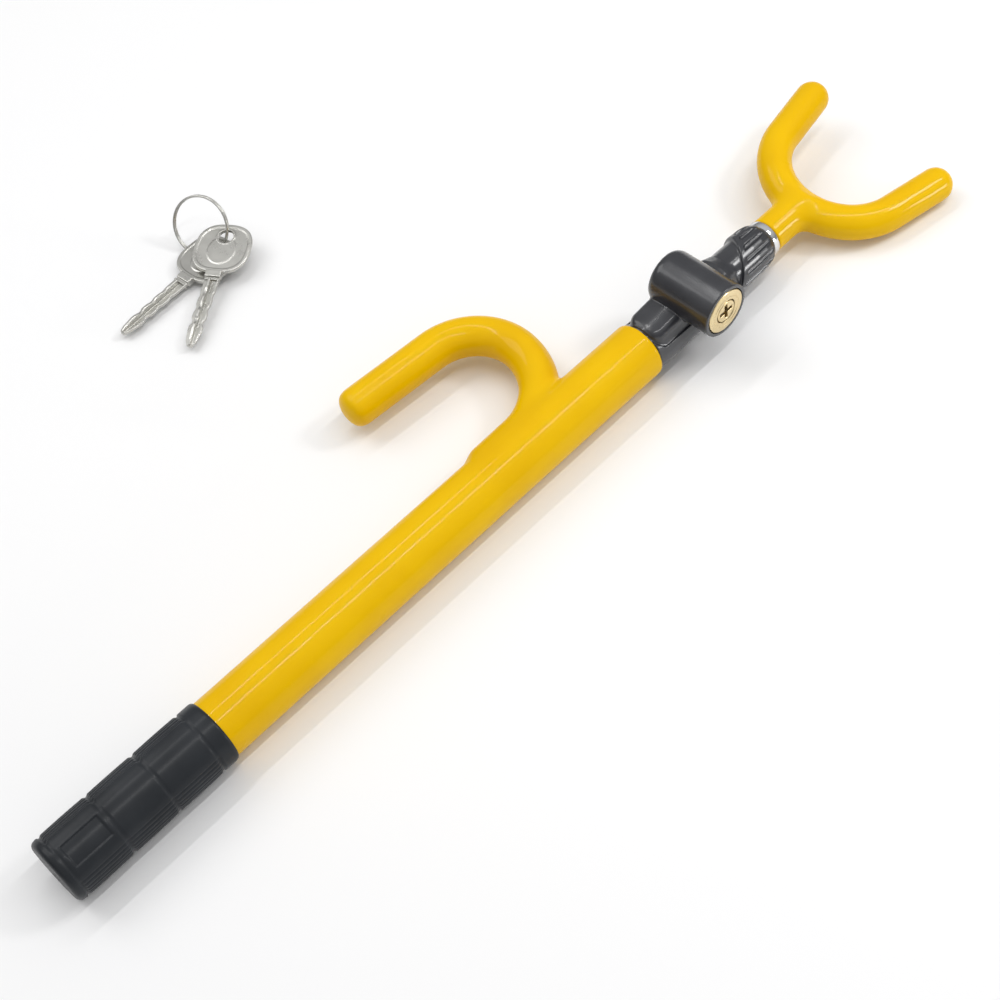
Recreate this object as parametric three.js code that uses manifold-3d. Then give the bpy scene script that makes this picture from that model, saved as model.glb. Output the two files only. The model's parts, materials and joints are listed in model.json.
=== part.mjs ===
// Steering wheel lock: vinyl coated tube with a hook, sliding grooved rod with
// a fork, transverse key barrel in a dark head, and two keys on a ring.
// Millimetres. +X runs along the tube from the grip to the fork, +Y is the hook
// side, +Z is up. The origin is the middle of the flat end of the grip.
import * as THREE from 'three';
import { mergeVertices } from 'three/addons/utils/BufferGeometryUtils.js';
import Module from 'manifold-3d';

const wasm = await Module();
wasm.setup();

const GAP = 0.3;
const FAR = 60;

// Tube, its coating and its grip
const TUBE_R = 12;
const TUBE_BORE_R = 10;
const TUBE_START = 4.2;
const TUBE_FRONT = 333;
const COAT_R = 13.5;
const COAT_START = 70;
const GRIP_LEN = 81;
const GRIP_R = 14.85;
const GRIP_WAIST_R = 14.2;
const GRIP_GROOVES = [4.2, 27, 50, 73];
const GRIP_GROOVE_HALF = 0.9;
const GRIP_END_ROUND = 2;
const GRIP_MOUTH_R = 13.85;
const END_PLUG_LEN = 12;

// Hook
const HOOK_STEEL_R = 7;
const HOOK_COAT_R = 9.2;
// Middle line of the hook bar: straight foot, two left-hand bends, straight free leg
const HOOK_FOOT = [244, 7.6];
const HOOK_FOOT_LEN = 17.7;
const HOOK_FOOT_HEADING = 1.3;
const HOOK_LOW_R = 38;
const HOOK_LOW_TURN = 83.7;
const HOOK_TOP_R = 27.5;
const HOOK_TOP_TURN = 90.9;
const HOOK_FREE_LEG = 43.5;

// Lock head
const BARREL_X = 362.6;
const BARREL_Z = 16.6;
const BARREL_R = 13;
const BARREL_FACE_Y = -24.9;
const BARREL_BACK_Y = 11.5;
const BODY_BARREL_R = 11.5;
const BODY_NECK_R = 10.9;
const BODY_BLOCK_TOP = 11.4;
const BODY_NOSE_R = 8.4;
const SPIGOT_R = 9.7;
const SPIGOT_START = 305;
const NECK_R = 12.4;
const ROD_BORE_R = 6.75;
const BODY_NECK_END = 384;
const BODY_NOSE_END = 408;
const SADDLE_HALF = 9.4;
const NOSE_WAIST_R = 9.8;
const COLLAR_R = 11.3;
const COLLAR_START = 386;
const COLLAR_MIDDLE = 396;
const COLLAR_LEAN = [-0.57, -0.33];
const NOSE_END = 415.8;
const NOSE_FLUTES = 8;
const FLUTE_HALF = 0.9;
const FLUTE_FLOOR_R = 10.1;
const FERRULE_R = 9;
const FERRULE_SLEEVE_R = 7.9;
const FERRULE_START = 408.7;
const FERRULE_END = 419.3;
const HEAD_PIN_X = 319;
const HEAD_PIN_R = 2;

// Key cylinder
const FLANGE_R = 10.9;
const FLANGE_BACK_Y = -22.5;
const SHELL_R = 10;
const SHELL_BACK_Y = -6;
const PLUG_R = 5.35;
const PLUG_BORE_R = 5.75;
const KEYWAY_WIDTH = 1.9;
const KEYWAY_SPAN = 8;
const PIN_ROW_Y = -14;
const PIN_R = 1;
const PIN_HOLE_R = 1.3;
const KEYWAY_DEPTH_Y = -9;
const DRIVER_PIN_REACH = [5.85, 7.4];
const KEY_PIN_REACH = [2.2, 5.25];
const PIN_ANGLES = [0, 90, 180, 270];
const CAM_BOSS_R = 2;
const CAM_DISC_R = 7;
const CAM_FRONT_Y = -4.2;
const CAM_PIN_R = 1.5;
const CAM_PIN_END_Y = 3.2;
const CAM_OFFSET = 2.5;
const ROLL_PIN_R = 0.9;
const ROLL_PIN_Z = [11.9, 21.3];
const ROLL_PIN_X = BARREL_X + 9.7;
const ROLL_PIN_Y = -10.5;

// Pawl that drops into the rod grooves
const PAWL_R = 4;
const PAWL_BORE_R = 4.4;
const PAWL_TIP_Z = 5.3;
const PAWL_TOP_Z = 21.6;
const PAWL_BLADE_HALF = 1.9;
const SPRING_TOP_Z = 25.5;
const SCREW_TOP_Z = 27.2;

// Sliding rod and fork
const ROD_R = 6.35;
const ROD_STEM_R = 4.5;
const ROD_START = 48;
const ROD_SHOULDER = 66.5;
const ROD_END = 438;
const GROOVE_PITCH = 18.75;
const GROOVES = 13;
const GROOVE_R = 4.9;
const GROOVE_HALF_TOP = 3.4;
const GROOVE_HALF_BOTTOM = 2.3;
const BUSH_R = 9.6;
const FORK_STEEL_R = 6;
const FORK_COAT_R = 8.25;
const FORK_NECK_R = 8.65;
const FORK_NECK_START = 419.7;
const FORK_X = 477.8;
const FORK_R = 33.2;
const FORK_SPREAD = 10;
const FORK_LEG = 27.2;
const FORK_TWIST = 10;

// Keys and ring, lying on the floor that the grip rests on
const FLOOR_Z = -GRIP_R;
const KEY_BOW_R = 15;
const KEY_BOW_THICK = 2;
const KEY_BLADE_START = 12;
const KEY_BLADE_END = 58;
const KEY_BLADE_SPAN = 7.4;
const KEY_BLADE_THICK = 1.6;
const KEY_NOTCHES = [27, 35, 43];
const KEY_NOTCH_WIDTH = 2.4;
const KEY_COLLAR_END = 19;
const KEY_COLLAR_HALF = 4.2;
const KEY_COLLAR_THICK = 3.4;
const KEY_HOLE_X = -7;
const KEY_HOLE_R = 3.8;
const RING_R = 14.6;
const RING_WIRE_R = 0.8;
const RING_TILT = 56;
const RING_HEADING = 24;
const RING_CENTRE = [258.2, 220.6];
const FRONT_KEY = { ringAngle: -13, heading: 212.3, droop: 5.6 };
const REAR_KEY = { ringAngle: -45.5, heading: 183.7, droop: 0.4 };

const MATERIALS = {
  yellow_vinyl: { color: 0xe6b800, roughness: 0.25, metalness: 0 },
  dark_rubber: { color: 0x3b3e42, roughness: 0.5, metalness: 0 },
  dark_moulding: { color: 0x35383c, roughness: 0.3, metalness: 0 },
  steel: { color: 0x9a9c9e, roughness: 0.4, metalness: 1 },
  chrome: { color: 0xd8dadc, roughness: 0.1, metalness: 1 },
  brass: { color: 0xcdb36a, roughness: 0.3, metalness: 1 },
  nickel: { color: 0xc4c4c0, roughness: 0.25, metalness: 1 },
  spring_steel: { color: 0x85888c, roughness: 0.35, metalness: 1 },
  cast_alloy: { color: 0x777a7e, roughness: 0.6, metalness: 1 },
  nylon: { color: 0xd9d6cc, roughness: 0.5, metalness: 0 },
};

const rad = (degrees) => (degrees * Math.PI) / 180;

// ---- solids -----------------------------------------------------------

function toSolid(geometry) {
  const plain = geometry.index ? geometry.toNonIndexed() : geometry.clone();
  plain.deleteAttribute('normal');
  plain.deleteAttribute('uv');
  const merged = mergeVertices(plain, 1e-4);
  const vertProperties = new Float32Array(merged.attributes.position.array);
  const index = merged.index.array;
  const keep = [];
  for (let i = 0; i < index.length; i += 3) {
    const [a, b, c] = [index[i], index[i + 1], index[i + 2]];
    if (a !== b && b !== c && a !== c) keep.push(a, b, c);
  }
  const triVerts = new Uint32Array(keep);
  if (signedVolume(vertProperties, triVerts) < 0) {
    for (let i = 0; i < triVerts.length; i += 3) {
      [triVerts[i], triVerts[i + 1]] = [triVerts[i + 1], triVerts[i]];
    }
  }
  return new wasm.Manifold(new wasm.Mesh({ numProp: 3, vertProperties, triVerts }));
}

function signedVolume(points, triangles) {
  const corner = (k) => new THREE.Vector3().fromArray(points, triangles[k] * 3);
  let total = 0;
  for (let i = 0; i < triangles.length; i += 3) {
    total += corner(i).dot(corner(i + 1).cross(corner(i + 2)));
  }
  return total;
}

const join = (first, ...rest) => rest.reduce((sum, next) => sum.add(next), first);
const cut = (first, ...rest) => rest.reduce((left, next) => left.subtract(next), first);

// Solid of revolution about the X axis from [x, radius] pairs.
function turned(profile, sides = 24) {
  const points = profile.map(([x, r]) => new THREE.Vector2(Math.max(r, 0), x));
  const lathe = new THREE.LatheGeometry(points, sides);
  lathe.rotateZ(-Math.PI / 2);
  return toSolid(lathe);
}

function rodX(radius, x0, x1, sides = 24) {
  return turned([[x0, 0], [x0, radius], [x1, radius], [x1, 0]], sides);
}

// Cylinder along +Y from y0 to y1 through (x, z).
function rodY(radius, y0, y1, x, z, sides = 24) {
  return rodX(radius, y0, y1, sides).rotate([0, 0, 90]).translate([x, 0, z]);
}

// Cylinder along +Z from z0 to z1 through (x, y).
function rodZ(radius, z0, z1, x, y, sides = 24) {
  return rodX(radius, z0, z1, sides).rotate([0, -90, 0]).translate([x, y, 0]);
}

function block(x0, x1, y0, y1, z0, z1) {
  const box = new THREE.BoxGeometry(x1 - x0, y1 - y0, z1 - z0);
  box.translate((x0 + x1) / 2, (y0 + y1) / 2, (z0 + z1) / 2);
  return toSolid(box);
}

// Prism with an XZ outline, from y0 to y1.
function prismY(outline, y0, y1) {
  const shape = new THREE.Shape(outline.map(([x, z]) => new THREE.Vector2(x, z)));
  const prism = new THREE.ExtrudeGeometry(shape, { depth: y1 - y0, bevelEnabled: false });
  prism.rotateX(Math.PI / 2);
  prism.translate(0, y1, 0);
  return toSolid(prism);
}

// Round bar through a list of centre points, each with its own radius.
function bar(stations, sides = 12) {
  const centres = stations.map(([x, y, z]) => new THREE.Vector3(x, y, z));
  const last = centres.length - 1;
  const tangents = centres.map((point, i) => {
    const ahead = centres[Math.min(i + 1, last)];
    const behind = centres[Math.max(i - 1, 0)];
    return ahead.clone().sub(behind).normalize();
  });
  let across = new THREE.Vector3(0, 0, 1);
  if (Math.abs(tangents[0].z) > 0.9) across.set(1, 0, 0);
  const positions = [];
  for (let i = 0; i <= last; i += 1) {
    across.addScaledVector(tangents[i], -across.dot(tangents[i])).normalize();
    const second = tangents[i].clone().cross(across);
    for (let k = 0; k < sides; k += 1) {
      const angle = (2 * Math.PI * k) / sides;
      const point = centres[i].clone();
      point.addScaledVector(across, stations[i][3] * Math.cos(angle));
      point.addScaledVector(second, stations[i][3] * Math.sin(angle));
      positions.push(point.x, point.y, point.z);
    }
  }
  positions.push(...centres[0].toArray(), ...centres[last].toArray());
  const startCentre = (last + 1) * sides;
  const index = [];
  for (let k = 0; k < sides; k += 1) {
    const next = (k + 1) % sides;
    index.push(startCentre, next, k);
    index.push(startCentre + 1, last * sides + k, last * sides + next);
    for (let i = 0; i < last; i += 1) {
      const a = i * sides + k;
      const b = i * sides + next;
      index.push(a, b, a + sides, b, b + sides, a + sides);
    }
  }
  const geometry = new THREE.BufferGeometry();
  geometry.setAttribute('position', new THREE.Float32BufferAttribute(positions, 3));
  geometry.setIndex(index);
  return toSolid(geometry);
}

// Adds a rounded end of the same radius to a list of bar stations.
function roundedEnd(stations, direction, radius) {
  const [x, y, z] = stations[stations.length - 1];
  for (const angle of [30, 55, 75]) {
    const reach = radius * Math.sin(rad(angle));
    const size = radius * Math.cos(rad(angle));
    stations.push([x + direction[0] * reach, y + direction[1] * reach, z, size]);
  }
  return stations;
}

const mesh = (name, solid, material) => {
  const data = solid.getMesh();
  const geometry = new THREE.BufferGeometry();
  const positions = [];
  for (let v = 0; v < data.vertProperties.length; v += data.numProp) {
    positions.push(...data.vertProperties.slice(v, v + 3));
  }
  geometry.setAttribute('position', new THREE.Float32BufferAttribute(positions, 3));
  geometry.setIndex([...data.triVerts]);
  geometry.computeVertexNormals();
  const node = new THREE.Mesh(geometry, new THREE.MeshStandardMaterial(MATERIALS[material]));
  node.name = name;
  return node;
};

// ---- tube, coating, hook, grip ------------------------------------------

function mainTube() {
  const ring = [
    [TUBE_START, TUBE_BORE_R],
    [TUBE_START, TUBE_R],
    [TUBE_FRONT, TUBE_R],
    [TUBE_FRONT, TUBE_BORE_R],
    [TUBE_START, TUBE_BORE_R],
  ];
  return cut(turned(ring, 28), ...headPins(HEAD_PIN_R + GAP));
}

// Points along a left-hand bend that starts at a point with a heading in degrees.
function bendPoints([x, y], heading, radius, turn, steps) {
  const points = [];
  for (let i = 1; i <= steps; i += 1) {
    const angle = rad(heading + (turn * i) / steps);
    const dx = radius * (Math.sin(angle) - Math.sin(rad(heading)));
    const dy = radius * (Math.cos(rad(heading)) - Math.cos(angle));
    points.push([x + dx, y + dy]);
  }
  return points;
}

const onward = ([x, y], heading, distance) => [
  x + distance * Math.cos(rad(heading)),
  y + distance * Math.sin(rad(heading)),
];

function hookPath() {
  const path = [HOOK_FOOT, onward(HOOK_FOOT, HOOK_FOOT_HEADING, HOOK_FOOT_LEN)];
  path.push(...bendPoints(path[1], HOOK_FOOT_HEADING, HOOK_LOW_R, HOOK_LOW_TURN, 6));
  const topHeading = HOOK_FOOT_HEADING + HOOK_LOW_TURN;
  path.push(...bendPoints(path[path.length - 1], topHeading, HOOK_TOP_R, HOOK_TOP_TURN, 6));
  const freeHeading = topHeading + HOOK_TOP_TURN;
  path.push(onward(path[path.length - 1], freeHeading, HOOK_FREE_LEG));
  return path;
}

const HOOK_PATH = hookPath();

function hookStations(radius) {
  return HOOK_PATH.map(([x, y]) => [x, y, 0, radius]);
}

// Unit direction from one path point to another.
function headingBetween([x0, y0], [x1, y1]) {
  const length = Math.hypot(x1 - x0, y1 - y0);
  return [(x1 - x0) / length, (y1 - y0) / length];
}

// Moves the last station of a bar on by a distance.
function lengthened(stations, distance) {
  const [last, before] = [stations[stations.length - 1], stations[stations.length - 2]];
  const [dx, dy] = headingBetween(before, last);
  const moved = [last[0] + dx * distance, last[1] + dy * distance, last[2], last[3]];
  return [...stations.slice(0, -1), moved];
}

function hookRod() {
  const clearTube = rodX(TUBE_R + GAP, HOOK_FOOT[0] - FAR, TUBE_FRONT, 28);
  return bar(hookStations(HOOK_STEEL_R)).subtract(clearTube);
}

function tubeCoating() {
  const sleeve = turned([
    [COAT_START, 0],
    [COAT_START, COAT_R],
    [TUBE_FRONT - 0.8, COAT_R],
    [TUBE_FRONT - 0.1, COAT_R - 0.7],
    [TUBE_FRONT - 0.1, 0],
  ], 28);
  const last = HOOK_PATH.length - 1;
  const freeEnd = headingBetween(HOOK_PATH[last - 1], HOOK_PATH[last]);
  const outer = roundedEnd(hookStations(HOOK_COAT_R), freeEnd, HOOK_COAT_R);
  const footEnd = headingBetween(HOOK_PATH[1], HOOK_PATH[0]);
  const skin = join(sleeve, bar(roundedEnd(outer.reverse(), footEnd, HOOK_COAT_R)));
  const inner = lengthened(hookStations(HOOK_STEEL_R + GAP), GAP).reverse();
  const hollow = join(
    rodX(TUBE_R + GAP, COAT_START - 1, TUBE_FRONT + 1, 28),
    bar(lengthened(inner, GAP)),
  );
  return skin.subtract(hollow);
}

function gripSleeve() {
  const profile = [[0, 0], [0, GRIP_R - GRIP_END_ROUND], [1.6, GRIP_R - 0.4]];
  for (const x of GRIP_GROOVES) {
    profile.push([x - GRIP_GROOVE_HALF, GRIP_R]);
    profile.push([x, GRIP_WAIST_R]);
    profile.push([x + GRIP_GROOVE_HALF, GRIP_R]);
  }
  profile.push([GRIP_LEN - 1, GRIP_R - 0.2], [GRIP_LEN, GRIP_R - 0.8], [GRIP_LEN, 0]);
  const bore = join(
    rodX(TUBE_R + GAP, TUBE_START - GAP, GRIP_LEN + 1, 24),
    rodX(GRIP_MOUTH_R, COAT_START - GAP, GRIP_LEN + 1, 24),
  );
  return cut(turned(profile, 28), bore);
}

function tubeEndPlug() {
  return turned([
    [TUBE_START, 0],
    [TUBE_START, TUBE_BORE_R - GAP],
    [TUBE_START + END_PLUG_LEN, TUBE_BORE_R - GAP],
    [TUBE_START + END_PLUG_LEN, TUBE_BORE_R - 2.5],
    [TUBE_START + 3, TUBE_BORE_R - 2.5],
    [TUBE_START + 3, 0],
  ], 24);
}

// ---- lock head ----------------------------------------------------------

function headPins(radius) {
  return [1, -1].map((side) => {
    const inner = ROD_BORE_R + 0.9 - (radius - HEAD_PIN_R);
    const outer = TUBE_R - 0.15 + (radius - HEAD_PIN_R) * 2;
    const ends = side > 0 ? [inner, outer] : [-outer, -inner];
    return rodY(radius, ends[0], ends[1], HEAD_PIN_X, 0, 12);
  });
}

function bodyOutline(grow) {
  const [x0, x1] = [BARREL_X - 15 - grow, BARREL_X + 13.5 + grow];
  return join(
    rodX(BODY_NECK_R + grow, TUBE_FRONT + GAP - grow, BODY_NECK_END + grow, 20),
    rodX(BODY_NOSE_R + grow, BODY_NECK_END - 2, BODY_NOSE_END + grow, 20),
    rodY(BODY_BARREL_R + grow, -22.2 - grow, 8 + grow, BARREL_X, BARREL_Z, 24),
    block(x0, x1, -7 - grow, 7 + grow, 0, BODY_BLOCK_TOP + grow),
  );
}

function rollPinHole() {
  return rodZ(ROLL_PIN_R + GAP, 11.5, 21.7, ROLL_PIN_X, ROLL_PIN_Y, 8);
}

function rollPin() {
  return rodZ(ROLL_PIN_R, ...ROLL_PIN_Z, ROLL_PIN_X, ROLL_PIN_Y, 8);
}

function lockBody() {
  const camSweepR = CAM_OFFSET + CAM_PIN_R + 0.5;
  return cut(
    join(bodyOutline(0), rodX(SPIGOT_R, SPIGOT_START, TUBE_FRONT + 2, 24)),
    rodX(ROD_BORE_R, SPIGOT_START - 1, BODY_NOSE_END + 1, 18),
    rodY(SHELL_R + GAP, -24, SHELL_BACK_Y + 0.2, BARREL_X, BARREL_Z, 24),
    rodY(CAM_DISC_R + 0.4, SHELL_BACK_Y, CAM_FRONT_Y + GAP, BARREL_X, BARREL_Z, 18),
    rodY(camSweepR, CAM_FRONT_Y - GAP, CAM_PIN_END_Y + 1.1, BARREL_X, BARREL_Z, 14),
    rodZ(PAWL_BORE_R, 4, 30, BARREL_X, 0, 16),
    rollPinHole(),
    ...headPins(HEAD_PIN_R + GAP),
  );
}

// Flat-topped saddles that rise from the neck and the nose to the barrel.
function headSaddles() {
  const rearTop = [[335.5, 6], [337, 13], [BARREL_X, 15.6], [BARREL_X, 6]];
  const frontTop = [[BARREL_X, 6], [BARREL_X, 14], [376, 13], [389, 9.5], [391, 6]];
  return join(
    prismY(rearTop, -SADDLE_HALF, SADDLE_HALF),
    prismY(frontTop, -7.5, 7.5),
  );
}

// Ribbed collar of the nose: its back edge lies in a plane oblique to the rod.
function noseCollar() {
  const solid = turned([
    [COLLAR_START, 0],
    [COLLAR_START, COLLAR_R],
    [NOSE_END - 6, COLLAR_R - 0.2],
    [NOSE_END - 3, COLLAR_R - 0.9],
    [NOSE_END, FERRULE_R - 0.2],
    [NOSE_END, 0],
  ], 24);
  return solid.trimByPlane([1, ...COLLAR_LEAN], COLLAR_MIDDLE);
}

function noseFlutes() {
  return Array.from({ length: NOSE_FLUTES }, (_, i) => {
    const start = COLLAR_MIDDLE + 8;
    const groove = block(start, NOSE_END + 1, FLUTE_FLOOR_R, 14, -FLUTE_HALF, FLUTE_HALF);
    return groove.rotate([((i + 0.5) * 360) / NOSE_FLUTES, 0, 0]);
  });
}

function headCover() {
  const neck = turned([
    [TUBE_FRONT + GAP, 0],
    [TUBE_FRONT + GAP, NECK_R],
    [BODY_NECK_END + 1, NECK_R - 0.4],
    [BODY_NECK_END + 5, NOSE_WAIST_R],
    [NOSE_END - 4, NOSE_WAIST_R],
    [NOSE_END, FERRULE_R - 0.3],
    [NOSE_END, 0],
  ], 24);
  const barrel = turned([
    [BARREL_FACE_Y + 0.3, 0],
    [BARREL_FACE_Y + 0.3, BARREL_R - 0.5],
    [BARREL_FACE_Y + 1, BARREL_R],
    [BARREL_BACK_Y - 3.5, BARREL_R],
    [BARREL_BACK_Y - 1, BARREL_R - 1.3],
    [BARREL_BACK_Y, BARREL_R - 4],
    [BARREL_BACK_Y, 0],
  ], 24).rotate([0, 0, 90]).translate([BARREL_X, 0, BARREL_Z]);
  return cut(
    join(neck, barrel, headSaddles(), noseCollar()),
    ...noseFlutes(),
    bodyOutline(GAP),
    rodX(TUBE_BORE_R, TUBE_FRONT - 1, TUBE_FRONT + 4, 24),
    rodX(FERRULE_SLEEVE_R + GAP, BODY_NOSE_END - 2, NOSE_END + 1, 20),
    rodY(FLANGE_R + GAP, -30, -21, BARREL_X, BARREL_Z, 24),
  );
}

function noseFerrule() {
  return turned([
    [FERRULE_START, ROD_BORE_R],
    [FERRULE_START, FERRULE_SLEEVE_R],
    [NOSE_END + GAP, FERRULE_SLEEVE_R],
    [NOSE_END + GAP, FERRULE_R - 0.4],
    [NOSE_END + 0.7, FERRULE_R],
    [FERRULE_END - 0.5, FERRULE_R],
    [FERRULE_END, FERRULE_R - 0.5],
    [FERRULE_END, ROD_BORE_R],
    [FERRULE_START, ROD_BORE_R],
  ], 24);
}

function guideBush() {
  const start = SPIGOT_START - 7;
  return turned([
    [start, ROD_BORE_R],
    [start, SPIGOT_R],
    [SPIGOT_START - GAP, SPIGOT_R],
    [SPIGOT_START - GAP, ROD_BORE_R],
    [start, ROD_BORE_R],
  ], 24);
}

// ---- key cylinder ---------------------------------------------------------

// Holes for the pins, radial about the barrel axis, from inner to outer radius.
function radialHoles(inner, outer) {
  return PIN_ANGLES.map((angle) => radialPin(PIN_HOLE_R, [inner, outer], angle));
}

function aroundBarrel(solid, angle) {
  return solid.rotate([0, angle, 0]).translate([BARREL_X, PIN_ROW_Y, BARREL_Z]);
}

function radialPin(radius, [inner, outer], angle) {
  return aroundBarrel(rodX(radius, inner, outer, 8), angle);
}

function radialSpring(angle) {
  const stations = [];
  const turns = 2.5;
  const stepsPerTurn = 6;
  const total = turns * stepsPerTurn;
  for (let i = 0; i <= total; i += 1) {
    const phase = (2 * Math.PI * i) / stepsPerTurn;
    const x = 7.65 + (1.45 * i) / total;
    stations.push([x, 0.75 * Math.cos(phase), 0.75 * Math.sin(phase), 0.16]);
  }
  return aroundBarrel(bar(stations, 4), angle);
}

function cylinderShell() {
  const outer = turned([
    [BARREL_FACE_Y, 0],
    [BARREL_FACE_Y, FLANGE_R - 0.4],
    [BARREL_FACE_Y + 0.4, FLANGE_R],
    [FLANGE_BACK_Y, FLANGE_R],
    [FLANGE_BACK_Y, SHELL_R],
    [SHELL_BACK_Y, SHELL_R],
    [SHELL_BACK_Y, 0],
  ], 24).rotate([0, 0, 90]).translate([BARREL_X, 0, BARREL_Z]);
  return cut(
    outer,
    rodY(PLUG_BORE_R, -30, 0, BARREL_X, BARREL_Z, 20),
    rollPinHole(),
    ...radialHoles(PLUG_R - GAP, SHELL_R + 2),
  );
}

function keyPlug() {
  const barrelRod = (radius, y0, y1) => rodY(radius, y0, y1, BARREL_X, BARREL_Z, 20);
  const half = KEYWAY_SPAN / 2;
  const slot = KEYWAY_WIDTH / 2;
  const keyway = join(
    block(-half, half, -30, KEYWAY_DEPTH_Y, -slot, slot),
    block(-slot, slot, -30, KEYWAY_DEPTH_Y, -half, half),
  );
  return cut(
    join(
      barrelRod(PLUG_R, BARREL_FACE_Y + 0.1, SHELL_BACK_Y),
      barrelRod(CAM_BOSS_R, SHELL_BACK_Y - 1, CAM_FRONT_Y - 0.2),
    ),
    keyway.translate([BARREL_X, 0, BARREL_Z]),
    ...radialHoles(1.5, PLUG_R + 1.65),
  );
}

function plugCam() {
  const disc = rodY(CAM_DISC_R, SHELL_BACK_Y + GAP, CAM_FRONT_Y, BARREL_X, BARREL_Z, 20);
  const pinX = BARREL_X - CAM_OFFSET;
  const pin = rodY(CAM_PIN_R, CAM_FRONT_Y - 0.8, CAM_PIN_END_Y, pinX, BARREL_Z, 12);
  const bossR = CAM_BOSS_R + 0.35;
  return cut(disc, rodY(bossR, -8, -4, BARREL_X, BARREL_Z, 14)).add(
    pin.subtract(rodY(bossR, -8, CAM_FRONT_Y, BARREL_X, BARREL_Z, 14)),
  );
}

function pawl() {
  const half = PAWL_BLADE_HALF;
  const body = rodZ(PAWL_R, 7, PAWL_TOP_Z, BARREL_X, 0, 18);
  const tip = block(BARREL_X - half, BARREL_X + half, -3.2, 3.2, PAWL_TIP_Z, 8);
  const low = BARREL_Z - CAM_PIN_R - 0.35;
  const high = BARREL_Z + CAM_PIN_R + 0.95;
  const window = block(BARREL_X - 6, BARREL_X + half, -6, 6, low, high);
  return body.add(tip).subtract(window);
}

function pawlSpring() {
  const stations = [];
  const turns = 2.5;
  const total = 20;
  for (let i = 0; i <= total; i += 1) {
    const phase = (2 * Math.PI * turns * i) / total;
    const low = PAWL_TOP_Z + 0.65;
    const z = low + ((SPRING_TOP_Z - 0.35 - low) * i) / total;
    stations.push([BARREL_X + 2.8 * Math.cos(phase), 2.8 * Math.sin(phase), z, 0.35]);
  }
  return bar(stations, 5);
}

function pawlSetScrew() {
  const screw = rodZ(PAWL_R + 0.1, SPRING_TOP_Z + 0.2, SCREW_TOP_Z, BARREL_X, 0, 18);
  return screw.subtract(rodZ(1.6, SCREW_TOP_Z - 1.5, SCREW_TOP_Z + 1, BARREL_X, 0, 6));
}

// ---- rod and fork -----------------------------------------------------------

function slidingRod() {
  const profile = [
    [ROD_START, 0],
    [ROD_START, ROD_STEM_R],
    [50, ROD_STEM_R],
    [50, ROD_STEM_R - 0.9],
    [52, ROD_STEM_R - 0.9],
    [52, ROD_STEM_R],
    [ROD_SHOULDER, ROD_STEM_R],
    [ROD_SHOULDER, ROD_R],
  ];
  for (let i = GROOVES - 1; i >= 0; i -= 1) {
    const x = BARREL_X - GROOVE_PITCH * i;
    profile.push([x - GROOVE_HALF_TOP, ROD_R]);
    profile.push([x - GROOVE_HALF_BOTTOM, GROOVE_R]);
    profile.push([x + GROOVE_HALF_BOTTOM, GROOVE_R]);
    profile.push([x + GROOVE_HALF_TOP, ROD_R]);
  }
  profile.push([ROD_END, ROD_R], [ROD_END, 0]);
  return turned(profile, 12);
}

function ringOnRod(x0, x1, inner, outer, sides = 24) {
  return turned([[x0, inner], [x0, outer], [x1, outer], [x1, inner], [x0, inner]], sides);
}

function forkProng(side, radius, rounded) {
  const stations = [];
  const steps = 6;
  const stop = 90 - FORK_SPREAD;
  for (let i = 0; i <= steps; i += 1) {
    const angle = rad((stop * i) / steps);
    const x = FORK_X - FORK_R * Math.cos(angle);
    stations.push([x, side * FORK_R * Math.sin(angle), 0, radius]);
  }
  const direction = [Math.cos(rad(FORK_SPREAD)), side * Math.sin(rad(FORK_SPREAD))];
  const [x, y] = stations[steps];
  stations.push([x + direction[0] * FORK_LEG, y + direction[1] * FORK_LEG, 0, radius]);
  if (rounded) roundedEnd(stations, direction, radius);
  return stations;
}

// The whole U as one bar, from one tip to the other.
function forkBar(radius, rounded) {
  const left = forkProng(1, radius, rounded).reverse();
  const right = forkProng(-1, radius, rounded).slice(1);
  return bar([...left, ...right]);
}

const twist = (solid) => solid.rotate([FORK_TWIST, 0, 0]);

function forkRod() {
  return twist(forkBar(FORK_STEEL_R, false)).subtract(rodX(ROD_R + GAP, 400, ROD_END + GAP, 16));
}

function forkCoating() {
  const neck = turned([
    [FORK_NECK_START, 0],
    [FORK_NECK_START, FORK_NECK_R - 0.6],
    [FORK_NECK_START + 0.8, FORK_NECK_R],
    [FORK_X - FORK_R, FORK_NECK_R],
    [FORK_X - FORK_R, 0],
  ], 24);
  const skin = join(forkBar(FORK_COAT_R, true), neck);
  const hollow = join(
    forkBar(FORK_STEEL_R + GAP, false),
    rodX(ROD_BORE_R, FORK_NECK_START - 1, ROD_END + 2, 20),
  );
  return twist(skin.subtract(hollow));
}

// ---- keys ---------------------------------------------------------------------

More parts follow.
